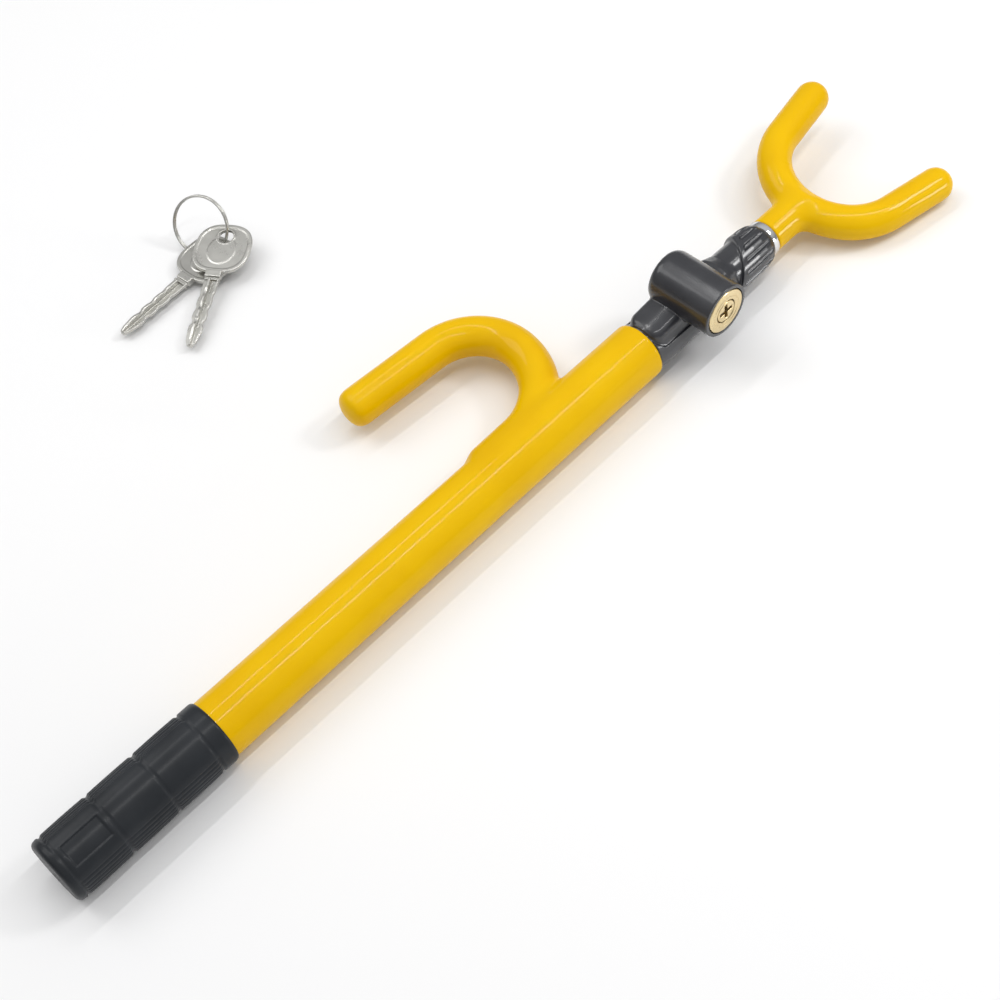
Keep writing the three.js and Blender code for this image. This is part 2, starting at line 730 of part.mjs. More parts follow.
function flatKey() {
  const outline = new THREE.Shape();
  const corners = 20;
  for (let i = 0; i < corners; i += 1) {
    const angle = (2 * Math.PI * i) / corners;
    const reach = KEY_BOW_R * (1 - 0.04 * Math.cos(4 * angle));
    const point = [reach * Math.cos(angle), reach * Math.sin(angle)];
    if (i === 0) outline.moveTo(...point);
    else outline.lineTo(...point);
  }
  outline.closePath();
  const bow = new THREE.ExtrudeGeometry(outline, { depth: KEY_BOW_THICK, bevelEnabled: false });
  bow.translate(0, 0, -KEY_BOW_THICK / 2);
  const [start, end] = [KEY_BLADE_START, KEY_BLADE_END];
  const half = KEY_BLADE_SPAN / 2;
  const thin = KEY_BLADE_THICK / 2;
  const envelope = turned([[start, 0], [start, 5], [end - 9, 4.2], [end - 3, 2.6], [end, 0.8], [end, 0]], 16);
  const blade = join(
    block(start, end, -half, half, -thin, thin),
    block(KEY_COLLAR_END + 1, end, -thin, thin, -half, half),
  ).intersect(envelope);
  const notches = KEY_NOTCHES.flatMap((x, i) => {
    const depth = 0.7 + 0.35 * i;
    const notch = block(x, x + KEY_NOTCH_WIDTH, half - depth, half + 2, -2, 2);
    return PIN_ANGLES.map((angle) => notch.rotate([angle, 0, 0]));
  });
  const collarSize = [-KEY_COLLAR_HALF, KEY_COLLAR_HALF, -KEY_COLLAR_THICK / 2, KEY_COLLAR_THICK / 2];
  const collar = block(start + 1.5, KEY_COLLAR_END, ...collarSize);
  const hole = rodZ(KEY_HOLE_R, -5, 5, KEY_HOLE_X, 0, 16);
  return cut(join(toSolid(bow), cut(blade, ...notches), collar), hole);
}

const ringAcross = [Math.cos(rad(RING_HEADING - 90)), Math.sin(rad(RING_HEADING - 90))];
const ringUphill = [Math.cos(rad(RING_HEADING)), Math.sin(rad(RING_HEADING))];
const ringCentreZ = FLOOR_Z + RING_WIRE_R + RING_R * Math.sin(rad(RING_TILT));

function ringPoint(angle) {
  const along = RING_R * Math.cos(rad(angle));
  const slope = RING_R * Math.sin(rad(angle));
  const level = slope * Math.cos(rad(RING_TILT));
  return [
    RING_CENTRE[0] + along * ringAcross[0] + level * ringUphill[0],
    RING_CENTRE[1] + along * ringAcross[1] + level * ringUphill[1],
    ringCentreZ + slope * Math.sin(rad(RING_TILT)),
  ];
}

function keyRing() {
  const section = [];
  const sides = 6;
  for (let i = 0; i <= sides; i += 1) {
    const angle = (2 * Math.PI * i) / sides;
    section.push([RING_WIRE_R * Math.cos(angle), RING_R + RING_WIRE_R * Math.sin(angle)]);
  }
  return turned(section, 24)
    .rotate([0, 90, 0])
    .rotate([RING_TILT, 0, 0])
    .rotate([0, 0, RING_HEADING - 90])
    .translate([RING_CENTRE[0], RING_CENTRE[1], ringCentreZ]);
}

// Places a key so its hole sits at a point on the ring.
function placedKey({ ringAngle, heading, droop }) {
  const [x, y, z] = ringPoint(ringAngle);
  return flatKey()
    .translate([-KEY_HOLE_X, 0, 0])
    .rotate([0, droop, 0])
    .rotate([0, 0, heading])
    .translate([x, y, z]);
}

// ---- assembly -------------------------------------------------------------------

function housing() {
  const pins = headPins(HEAD_PIN_R);
  const list = [
    mesh('main_tube', mainTube(), 'steel'),
    mesh('hook_rod', hookRod(), 'steel'),
    mesh('tube_coating', tubeCoating(), 'yellow_vinyl'),
    mesh('grip_sleeve', gripSleeve(), 'dark_rubber'),
    mesh('tube_end_plug', tubeEndPlug(), 'nylon'),
    mesh('lock_body', lockBody(), 'cast_alloy'),
    mesh('head_cover', headCover(), 'dark_moulding'),
    mesh('nose_ferrule', noseFerrule(), 'chrome'),
    mesh('guide_bush', guideBush(), 'nylon'),
    mesh('head_pin_left', pins[0], 'steel'),
    mesh('head_pin_right', pins[1], 'steel'),
    mesh('cylinder_shell', cylinderShell(), 'brass'),
    mesh('cylinder_roll_pin', rollPin(), 'steel'),
    mesh('pawl_spring', pawlSpring(), 'spring_steel'),
    mesh('pawl_set_screw', pawlSetScrew(), 'steel'),
  ];
  PIN_ANGLES.forEach((angle, i) => {
    const driver = radialPin(PIN_R, DRIVER_PIN_REACH, angle);
    list.push(mesh(`driver_pin_${i + 1}`, driver, 'brass'));
    list.push(mesh(`pin_spring_${i + 1}`, radialSpring(angle), 'spring_steel'));
  });
  return list;
}

function turningPlug() {
  const list = [
    mesh('plug', keyPlug(), 'brass'),
    mesh('plug_cam', plugCam(), 'steel'),
    mesh('pawl', pawl(), 'steel'),
  ];
  PIN_ANGLES.forEach((angle, i) => {
    list.push(mesh(`key_pin_${i + 1}`, radialPin(PIN_R, KEY_PIN_REACH, angle), 'brass'));
  });
  return list;
}

function rodAndFork() {
  return [
    mesh('rod', slidingRod(), 'chrome'),
    mesh('stop_clip', ringOnRod(50.3, 51.7, ROD_STEM_R - 0.6, 6.5, 20), 'spring_steel'),
    mesh('stop_washer', ringOnRod(52.3, 53.9, ROD_STEM_R + GAP, 8.5, 20), 'steel'),
    mesh('stop_bush', ringOnRod(54.2, 66.2, ROD_STEM_R + GAP, BUSH_R, 24), 'nylon'),
    mesh('fork_rod', forkRod(), 'steel'),
    mesh('fork_coating', forkCoating(), 'yellow_vinyl'),
  ];
}

function keysOnRing() {
  return [
    mesh('key_ring', keyRing(), 'nickel'),
    mesh('key_front', placedKey(FRONT_KEY), 'nickel'),
    mesh('key_rear', placedKey(REAR_KEY), 'nickel'),
  ];
}

const part = new THREE.Group();
part.name = 'steering_wheel_lock';
part.add(...housing(), ...turningPlug(), ...rodAndFork(), ...keysOnRing());

export default part;
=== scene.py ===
"""Looks of a steering wheel lock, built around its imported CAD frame.

The visible pieces are modelled again in fine detail. Curved, blended pieces
are distance fields in millimetres that are turned into meshes; round pieces
are turned profiles. Everything is in the row frame: +X along the tube from
the grip to the fork, +Y the hook side, +Z up.
"""

import json
import math

import bpy
import numpy as np
from mathutils import Euler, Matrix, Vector


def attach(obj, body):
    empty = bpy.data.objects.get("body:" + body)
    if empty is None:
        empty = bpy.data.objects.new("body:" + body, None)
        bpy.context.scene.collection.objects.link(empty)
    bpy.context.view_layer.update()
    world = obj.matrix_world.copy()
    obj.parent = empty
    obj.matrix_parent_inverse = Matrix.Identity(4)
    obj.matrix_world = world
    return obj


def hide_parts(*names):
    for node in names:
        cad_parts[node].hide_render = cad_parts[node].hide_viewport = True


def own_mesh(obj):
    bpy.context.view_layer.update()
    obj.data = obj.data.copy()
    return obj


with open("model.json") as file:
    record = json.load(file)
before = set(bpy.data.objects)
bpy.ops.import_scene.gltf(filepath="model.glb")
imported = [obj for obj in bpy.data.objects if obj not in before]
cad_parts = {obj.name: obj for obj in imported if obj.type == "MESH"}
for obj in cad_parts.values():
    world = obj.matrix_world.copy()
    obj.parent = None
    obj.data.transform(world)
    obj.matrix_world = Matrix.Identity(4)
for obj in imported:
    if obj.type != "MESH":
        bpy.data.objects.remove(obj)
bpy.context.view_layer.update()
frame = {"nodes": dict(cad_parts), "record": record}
MM = 0.001

# ---- dimensions, in millimetres and degrees ---------------------------------------
# Coated tube and hook: the hook's middle line is a foot, two bends and a free leg
COAT_R = 13.5
COAT_START = 70.0
TUBE_FRONT = 332.9
TUBE_FILLET = 4.5
HOOK_COAT_R = 9.2
HOOK_FOOT = (244.0, 7.6)
HOOK_LOW_START = (261.7, 8.0)
HOOK_LOW_R = 38.0
HOOK_TOP_R = 27.5
HOOK_LOW_HEADING = 1.3
HOOK_MID_HEADING = 85.0
HOOK_FREE_HEADING = 175.9
HOOK_FREE_LEG = 43.5
HOOK_END_REACH = 7.2

# Lock head
HEAD_START = 333.3
BARREL_X = 362.6
BARREL_Z = 16.6
BARREL_R = 13.0
BARREL_FACE_Y = -24.9
BARREL_BACK_Y = 11.5
CYLINDER_BACK_Y = -6.0
FLANGE_R = 10.9
SHELL_R = 10.0
PLUG_R = 5.4
KEYWAY_HALF_SPAN = 4.0
KEYWAY_HALF_WIDTH = 0.95
KEYWAY_END_Y = -9.0
SADDLE_HALF = 9.4
NOSE_END = 415.8
NOSE_RIBS = 14
NOSE_CROWN = 120.0
NOSE_FACE_R = 8.9
COLLAR_R = 11.3
COLLAR_MIDDLE = 396.0
COLLAR_LEAN = (0.862, 0.507)

# Sliding rod
ROD_START = 48.0
ROD_SHOULDER = 66.5
ROD_END = 438.0
ROD_R = 6.35
ROD_STEM_R = 4.5
GROOVES = 13
GROOVE_PITCH = 18.75
GROOVE_R = 4.9

# Fork, turned a little about the rod
FORK_X = 477.8
FORK_R = 33.2
FORK_COAT_R = 8.25
FORK_NECK_R = 8.65
FORK_NECK_START = 419.7
FORK_SPREAD = 10.0
FORK_LEG = 27.2
FORK_TWIST = 10.0
FORK_FILLET = 5.0

# Keys and ring; each key has its place round the ring, its heading and its droop
KEY_BOW_R = 15.0
KEY_HOLE_X = -7.0
KEY_HOLE_R = 3.85
KEY_BLADE_START = 12.5
KEY_BLADE_END = 58.0
KEY_NOTCHES = ((27, 0.4), (35, 0.6), (43, 0.9))
RING_R = 14.6
RING_WIRE_R = 0.6
RING_TILT = 56.0
RING_HEADING = 24.0
RING_CENTRE = (258.2, 220.6, -1.95)
FRONT_KEY = (-13.0, 212.3, 5.6)
REAR_KEY = (-45.5, 183.7, 0.4)

# Pawl spring
SPRING_TURNS = 2.5
SPRING_R = 2.8
SPRING_WIRE_R = 0.35
SPRING_LOW_Z = 22.25
SPRING_HIGH_Z = 25.15

# Grip: ribbed lands between smooth waists, and an inset panel on two sides
GRIP_LEN = 81.0
GRIP_R = 14.85
GRIP_LANDS = (4.4, 27.4, 50.4)
GRIP_LAND_LEN = 22.6
GRIP_RIBS = 44
GRIP_SIDES = 440
GRIP_PANEL_ANGLE = 116.0
GRIP_PANEL_HALF = 21

# Floor, sky and camera, in metres
FLOOR_Z = -GRIP_R * MM - 0.0002
FLOOR_HALF = 6.0
SKY_AT_HORIZON = 0.24
SKY_ABOVE = 0.65
LIGHT_TARGET = (0.25, 0.02, 0.0)
CAMERA_PLACE = (-0.03485, -0.36846, 0.614)
CAMERA_TURN = (35.648, 6.443, -45.675)
CAMERA_LENS = 64.8


# ---- distance fields ----------------------------------------------------------
def smooth_min(a, b, k):
    h = np.clip(0.5 + 0.5 * (b - a) / k, 0, 1)
    return b * (1 - h) + a * h - k * h * (1 - h)


def smooth_max(a, b, k):
    return -smooth_min(-a, -b, k)


def capped_round(rho, along, radius, half, edge):
    """Cylinder from its radial and axial coordinates, with rounded rims."""
    q0 = rho - (radius - edge)
    q1 = np.abs(along) - (half - edge)
    outside = np.hypot(np.maximum(q0, 0), np.maximum(q1, 0))
    return outside + np.minimum(np.maximum(q0, q1), 0) - edge


def round_x(p, radius, x0, x1, edge=0.3):
    rho = np.hypot(p[:, 1], p[:, 2])
    return capped_round(rho, p[:, 0] - (x0 + x1) / 2, radius, (x1 - x0) / 2, edge)


def round_y(p, radius, y0, y1, x, z, edge=0.3):
    rho = np.hypot(p[:, 0] - x, p[:, 2] - z)
    return capped_round(rho, p[:, 1] - (y0 + y1) / 2, radius, (y1 - y0) / 2, edge)


def box_field(p, low, high, edge=0.3):
    centre = (np.array(low) + np.array(high)) / 2
    half = (np.array(high) - np.array(low)) / 2 - edge
    q = np.abs(p - centre) - half
    outside = np.linalg.norm(np.maximum(q, 0), axis=1)
    return outside + np.minimum(q.max(axis=1), 0) - edge


def segment_distance(x, y, a, b):
    """Distance in the plane from (x, y) to the segment a-b."""
    dx, dy = b[0] - a[0], b[1] - a[1]
    t = np.clip(((x - a[0]) * dx + (y - a[1]) * dy) / (dx * dx + dy * dy), 0, 1)
    return np.hypot(x - a[0] - t * dx, y - a[1] - t * dy)


def arc_distance(x, y, centre, radius, start, stop):
    """Distance in the plane to an arc between two angles in degrees."""
    vx, vy = x - centre[0], y - centre[1]
    middle = math.radians((start + stop) / 2)
    half = math.radians((stop - start) / 2)
    c, s = math.cos(middle), math.sin(middle)
    turned_x, turned_y = vx * c + vy * s, np.abs(-vx * s + vy * c)
    angle = np.arctan2(turned_y, turned_x)
    end_x, end_y = radius * math.cos(half), radius * math.sin(half)
    on_arc = np.abs(np.hypot(vx, vy) - radius)
    past = np.hypot(turned_x - end_x, turned_y - end_y)
    return np.where(angle <= half, on_arc, past)


def heading(degrees):
    return math.cos(math.radians(degrees)), math.sin(math.radians(degrees))


def turn_about(axis, degrees):
    """Rotation matrix about one of the frame's axes."""
    c, s = heading(degrees)
    if axis == "x":
        return np.array([[1, 0, 0], [0, c, -s], [0, s, c]])
    if axis == "y":
        return np.array([[c, 0, s], [0, 1, 0], [-s, 0, c]])
    return np.array([[c, -s, 0], [s, c, 0], [0, 0, 1]])


def arc_after(start, from_heading, to_heading, radius):
    """Centre, start and stop angles and end point of a left-hand arc."""
    fx, fy = heading(from_heading)
    tx, ty = heading(to_heading)
    centre = (start[0] - radius * fy, start[1] + radius * fx)
    end = (centre[0] + radius * ty, centre[1] - radius * tx)
    return centre, from_heading - 90, to_heading - 90, end


# ---- distance field to mesh -----------------------------------------------------
def sample_field(field, low, counts, cell):
    values = np.empty(counts, np.float32)
    ys = low[1] + np.arange(counts[1]) * cell
    zs = low[2] + np.arange(counts[2]) * cell
    grid_y, grid_z = np.meshgrid(ys, zs, indexing="ij")
    slab = np.empty((grid_y.size, 3))
    slab[:, 1], slab[:, 2] = grid_y.ravel(), grid_z.ravel()
    for i in range(counts[0]):
        slab[:, 0] = low[0] + i * cell
        values[i] = field(slab).reshape(counts[1], counts[2])
    return values


def surface_net(field, low, high, cell):
    """Points and quads near the zero level of a field."""
    low = np.array(low, float)
    counts = tuple(np.ceil((np.array(high) - low) / cell).astype(int) + 1)
    inside = sample_field(field, low, counts, cell) < 0
    corners = sum(
        inside[i : counts[0] - 1 + i, j : counts[1] - 1 + j, k : counts[2] - 1 + k].astype(np.int8)
        for i in (0, 1)
        for j in (0, 1)
        for k in (0, 1)
    )
    active = (corners > 0) & (corners < 8)
    index = np.full(active.shape, -1)
    index[active] = np.arange(active.sum())
    points = low + (np.argwhere(active) + 0.5) * cell
    quads = []
    for axis in range(3):
        u, v = (axis + 1) % 3, (axis + 2) % 3
        first = np.take(inside, range(counts[axis] - 1), axis)
        second = np.take(inside, range(1, counts[axis]), axis)
        at = np.argwhere(first != second)
        leaving = first[tuple(at.T)]
        ring = []
        for du, dv in ((-1, -1), (0, -1), (0, 0), (-1, 0)):
            cells = at.copy()
            cells[:, u] += du
            cells[:, v] += dv
            ring.append(index[tuple(cells.T)])
        ring = np.stack(ring, axis=1)
        ring[~leaving] = ring[~leaving][:, ::-1]
        quads.append(ring)
    return points, np.concatenate(quads)


def gradient(field, points, step=0.02):
    columns = []
    for axis in range(3):
        shift = np.zeros(3)
        shift[axis] = step
        columns.append(field(points + shift) - field(points - shift))
    return np.stack(columns, axis=1) / (2 * step)


def settle(field, points, cell, rounds=4):
    """Moves points onto the zero level."""
    for _ in range(rounds):
        slope = gradient(field, points)
        length = np.maximum((slope**2).sum(axis=1), 0.05)
        move = slope * (field(points) / length)[:, None]
        reach = np.maximum(np.linalg.norm(move, axis=1) / (0.7 * cell), 1)
        points = points - move / reach[:, None]
    return points


def even_out(points, quads):
    """Moves each point to the middle of its faces."""
    centres = points[quads].mean(axis=1)
    total = np.zeros_like(points)
    count = np.zeros(len(points))
    for corner in range(4):
        np.add.at(total, quads[:, corner], centres)
        np.add.at(count, quads[:, corner], 1)
    return total / np.maximum(count, 1)[:, None]


def mesh_object(name, points, faces, normals=None):
    mesh = bpy.data.meshes.new(name)
    mesh.from_pydata((points * MM).tolist(), [], [list(map(int, f)) for f in faces])
    mesh.validate()
    mesh.update()
    for polygon in mesh.polygons:
        polygon.use_smooth = True
    if normals is not None:
        mesh.normals_split_custom_set_from_vertices([Vector(n) for n in normals])
    obj = bpy.data.objects.new(name, mesh)
    bpy.context.scene.collection.objects.link(obj)
    return obj


def field_object(name, field, low, high, cell, turn=None, pivot=(0, 0, 0), place=(0, 0, 0)):
    """Mesh of a field, turned about a pivot that then goes to a place."""
    points, quads = surface_net(field, low, high, cell)
    points = settle(field, points, cell)
    for _ in range(2):
        points = settle(field, even_out(points, quads), cell, 2)
    slope = gradient(field, points)
    normals = slope / np.maximum(np.linalg.norm(slope, axis=1), 1e-6)[:, None]
    if turn is not None:
        points = (points - np.array(pivot)) @ turn.T + np.array(place)
        normals = normals @ turn.T
    return mesh_object(name, points, quads, normals)


def revolve(name, radius_at, stations, sides):
    """Closed surface round the X axis from radius_at(x, angles)."""
    angles = np.linspace(0, 2 * math.pi, sides, endpoint=False)
    rings = []
    for x, scale in stations:
        r = radius_at(x, angles) * scale
        rings.append(np.stack([np.full(sides, x), r * np.cos(angles), r * np.sin(angles)], 1))
    points = np.concatenate(rings)
    faces = []
    for i in range(len(rings) - 1):
        for k in range(sides):
            n = (k + 1) % sides
            faces.append((i * sides + k, (i + 1) * sides + k, (i + 1) * sides + n, i * sides + n))
    faces.append(tuple(range(sides)))
    faces.append(tuple(reversed(range((len(rings) - 1) * sides, len(rings) * sides))))
    return mesh_object(name, points, faces)


# ---- materials -------------------------------------------------------------------
def srgb(r, g, b):
    def linear(v):
        v /= 255
        return v / 12.92 if v <= 0.04045 else ((v + 0.055) / 1.055) ** 2.4

    return (linear(r), linear(g), linear(b), 1)


class Surface:
    """A procedural material: colour patches, roughness wear and bump."""

    def __init__(self, name, colour, rough, metal=0.0, coat=0.0):
        self.material = bpy.data.materials.new(name)
        self.material.use_nodes = True
        self.nodes = self.material.node_tree.nodes
        self.links = self.material.node_tree.links
        self.shader = self.nodes["Principled BSDF"]
        self.shader.inputs["Base Color"].default_value = colour
        self.shader.inputs["Roughness"].default_value = rough
        self.shader.inputs["Metallic"].default_value = metal
        self.shader.inputs["Coat Weight"].default_value = coat
        self.place = self.nodes.new("ShaderNodeTexCoord").outputs["Object"]
        self.last_bump = None

    def gloss(self, specular, coat_roughness):
        self.shader.inputs["Specular IOR Level"].default_value = specular
        self.shader.inputs["Coat Roughness"].default_value = coat_roughness

    def noise(self, scale, detail, stretch=(1, 1, 1)):
        mapping = self.nodes.new("ShaderNodeMapping")
        mapping.inputs["Scale"].default_value = stretch
        self.links.new(self.place, mapping.inputs["Vector"])
        texture = self.nodes.new("ShaderNodeTexNoise")
        texture.inputs["Scale"].default_value = scale
        texture.inputs["Detail"].default_value = detail
        self.links.new(mapping.outputs["Vector"], texture.inputs["Vector"])
        return texture.outputs["Fac"]

    def ramp(self, value, low, high, low_out, high_out):
        node = self.nodes.new("ShaderNodeMapRange")
        node.inputs["From Min"].default_value = low
        node.inputs["From Max"].default_value = high
        node.inputs["To Min"].default_value = low_out
        node.inputs["To Max"].default_value = high_out
        self.links.new(value, node.inputs["Value"])
        return node.outputs["Result"]

    def colours(self, factor, first, second):
        mix = self.nodes.new("ShaderNodeMix")
        mix.data_type = "RGBA"
        mix.inputs["A"].default_value = first
        mix.inputs["B"].default_value = second
        self.links.new(factor, mix.inputs["Factor"])
        self.links.new(mix.outputs["Result"], self.shader.inputs["Base Color"])
        return self

    def roughness(self, factor, low, high):
        self.links.new(self.ramp(factor, 0.3, 0.7, low, high), self.shader.inputs["Roughness"])
        return self

    def bump(self, height, distance, strength):
        node = self.nodes.new("ShaderNodeBump")
        node.inputs["Strength"].default_value = strength
        node.inputs["Distance"].default_value = distance
        self.links.new(height, node.inputs["Height"])
        if self.last_bump is not None:
            self.links.new(self.last_bump, node.inputs["Normal"])
        self.links.new(node.outputs["Normal"], self.shader.inputs["Normal"])
        self.last_bump = node.outputs["Normal"]
        return self


def vinyl():
    s = Surface("yellow_vinyl", srgb(229, 181, 1), 0.32, coat=0.24)
    s.gloss(0.03, 0.05)
    s.colours(s.ramp(s.noise(35, 4), 0.35, 0.7, 0, 1), srgb(231, 184, 1), srgb(225, 176, 0))
    s.roughness(s.noise(90, 4), 0.26, 0.4)
    s.bump(s.noise(55, 2), 0.0004, 0.3)
    return s.bump(s.noise(900, 2), 0.00002, 0.3).material


def dark_moulding():
    s = Surface("dark_moulding", srgb(52, 53, 58), 0.36, coat=0.8)
    s.gloss(0.25, 0.16)
    s.colours(s.ramp(s.noise(60, 5), 0.4, 0.7, 0, 1), srgb(38, 39, 44), srgb(52, 53, 57))
    s.roughness(s.noise(140, 5), 0.3, 0.46)
    s.bump(s.noise(160, 3), 0.0002, 0.35)
    return s.bump(s.noise(2200, 2), 0.00003, 0.5).material


def grip_rubber():
    s = Surface("grip_rubber", srgb(40, 43, 47), 0.46, coat=0.2)
    s.gloss(0.15, 0.24)
    s.colours(s.ramp(s.noise(45, 6), 0.35, 0.75, 0, 1), srgb(27, 30, 34), srgb(41, 44, 48))
    s.roughness(s.noise(120, 5), 0.38, 0.56)
    s.bump(s.noise(110, 4), 0.0003, 0.4)
    return s.bump(s.noise(1800, 2), 0.00004, 0.5).material


def metal(name, light, dark, rough, brushed=(1, 1, 1), grain=900):
    s = Surface(name, light, rough, metal=1.0)
    s.colours(s.ramp(s.noise(70, 5), 0.35, 0.7, 0, 1), light, dark)
    s.roughness(s.noise(grain * 0.3, 4, brushed), rough * 0.75, rough * 1.5)
    return s.bump(s.noise(grain, 3, brushed), 0.00002, 0.5).material


def satin_nickel():
    s = Surface("satin_nickel", srgb(196, 195, 190), 0.3, metal=1.0)
    s.colours(s.ramp(s.noise(40, 3), 0.3, 0.75, 0, 1), srgb(199, 198, 193), srgb(186, 185, 180))
    s.roughness(s.noise(160, 4, (1, 1, 5)), 0.25, 0.36)
    return s.bump(s.noise(1400, 2, (1, 6, 6)), 0.000008, 0.35).material


def lock_brass():
    s = Surface("lock_brass", srgb(232, 212, 166), 0.3, metal=1.0)
    s.colours(s.ramp(s.noise(50, 3), 0.3, 0.75, 0, 1), srgb(236, 217, 172), srgb(222, 198, 148))
    s.roughness(s.noise(260, 4), 0.24, 0.4)
    return s.bump(s.noise(1500, 2), 0.000008, 0.4).material


def plain(name, light, dark, rough):
    s = Surface(name, light, rough)
    s.colours(s.ramp(s.noise(120, 4), 0.35, 0.7, 0, 1), light, dark)
    s.roughness(s.noise(300, 3), rough * 0.85, rough * 1.15)
    return s.bump(s.noise(1500, 2), 0.00003, 0.4).material


MATERIALS = {
    "yellow_vinyl": vinyl(),
    "head_moulding": dark_moulding(),
    "grip_rubber": grip_rubber(),
    "chrome": metal("chrome_plate", srgb(225, 226, 228), srgb(210, 212, 215), 0.08, grain=400),
    "lock_brass": lock_brass(),
    "nickel": satin_nickel(),
    "tube_steel": metal("drawn_steel", srgb(176, 178, 181), srgb(140, 142, 146), 0.34, (1, 14, 14)),
    "spring_steel": metal("spring_steel", srgb(140, 143, 148), srgb(104, 108, 114), 0.3),
    "cast_alloy": metal("cast_alloy", srgb(165, 167, 170), srgb(128, 131, 136), 0.55, grain=500),
    "nylon": plain("moulded_nylon", srgb(222, 218, 205), srgb(206, 200, 184), 0.5),
}


def dress(obj, slot, body=None, *replaced):
    """Gives a piece its material, its slot, its body and the nodes it stands for."""
    obj.data.materials.clear()
    obj.data.materials.append(MATERIALS[slot])
    if body is not None:
        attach(obj, body)
        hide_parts(*replaced)
    return obj


# ---- pieces --------------------------------------------------------------------------
def hook_field(p):
    x, y, z = p[:, 0], p[:, 1], p[:, 2]
    low = arc_after(HOOK_LOW_START, HOOK_LOW_HEADING, HOOK_MID_HEADING, HOOK_LOW_R)
    top = arc_after(low[3], HOOK_MID_HEADING, HOOK_FREE_HEADING, HOOK_TOP_R)
    dx, dy = heading(HOOK_FREE_HEADING)
    end = (top[3][0] + dx * HOOK_FREE_LEG, top[3][1] + dy * HOOK_FREE_LEG)
    line = segment_distance(x, y, HOOK_FOOT, HOOK_LOW_START)
    line = np.minimum(line, arc_distance(x, y, low[0], HOOK_LOW_R, low[1], low[2]))
    line = np.minimum(line, arc_distance(x, y, top[0], HOOK_TOP_R, top[1], top[2]))
    line = np.minimum(line, segment_distance(x, y, top[3], end))
    bar = np.hypot(line, z) - HOOK_COAT_R
    end_plane = (x - end[0]) * dx + (y - end[1]) * dy - HOOK_END_REACH
    return smooth_max(bar, end_plane, 4.0)


def coating_field(p):
    sleeve = round_x(p, COAT_R, COAT_START, TUBE_FRONT, 1.0)
    return smooth_min(sleeve, hook_field(p), TUBE_FILLET)


def fork_field(p):
    x, y, z = p[:, 0], np.abs(p[:, 1]), p[:, 2]
    stop = 90 - FORK_SPREAD
    bend = arc_distance(x, y, (FORK_X, 0), FORK_R, 180 - stop, 180 + stop)
    back, side = heading(stop)
    start = (FORK_X - FORK_R * back, FORK_R * side)
    dx, dy = heading(FORK_SPREAD)
    end = (start[0] + dx * FORK_LEG, start[1] + dy * FORK_LEG)
    line = np.minimum(bend, segment_distance(x, y, start, end))
    prongs = np.hypot(line, z) - FORK_COAT_R
    neck = round_x(p, FORK_NECK_R, FORK_NECK_START, FORK_X - FORK_R, 0.8)
    return smooth_min(prongs, neck, FORK_FILLET)


def nose_radius(x):
    """Radius of the neck and of the nose's waist."""
    stations = [HEAD_START, 384.0, 389.0, 404.0, NOSE_END]
    radii = [12.4, 12.0, 10.0, 9.8, NOSE_FACE_R]
    return np.interp(x, stations, radii)


def rounded_plan(x, y, x0, x1, half_width, corner):
    """Distance in plan to a rectangle with rounded corners."""
    qx = np.abs(x - (x0 + x1) / 2) - (x1 - x0) / 2 + corner
    qy = np.abs(y) - half_width + corner
    outside = np.hypot(np.maximum(qx, 0), np.maximum(qy, 0))
    return outside + np.minimum(np.maximum(qx, qy), 0) - corner


def saddle(p, plan, top):
    """Flat-topped pad with a rounded upper edge over a plan outline."""
    pad = smooth_max(plan, p[:, 2] - top, 3.5)
    return smooth_max(pad, -p[:, 2] - 2, 1.0)


def nose_collar(p):
    """Ribbed collar: oblique behind, domed in front, with grooves between the ribs."""
    x, y, z = p[:, 0], p[:, 1], p[:, 2]
    rho = np.hypot(y, z)
    stations = [384, 404, 410, 413, 414.6, NOSE_END]
    radius = np.interp(x, stations, [COLLAR_R, COLLAR_R, 11.0, 10.4, 9.8, NOSE_FACE_R])
    lean = COLLAR_LEAN[0] * y + COLLAR_LEAN[1] * z
    behind = (COLLAR_MIDDLE + 0.66 * lean - x) * 0.8
    collar = smooth_max(rho - radius, np.maximum(behind, x - NOSE_END), 0.7)
    pitch = 2 * math.pi / NOSE_RIBS
    off = (np.mod(np.arctan2(z, y) - math.radians(NOSE_CROWN), pitch) - pitch / 2) * rho
    half_width, half_depth = 1.25, 1.7
    groove = (np.hypot(off / half_width, (rho - 11.5) / half_depth) - 1) * half_width
    groove = smooth_max(groove, behind + 2.2, 1.0)
    return smooth_max(collar, -groove, 0.4)


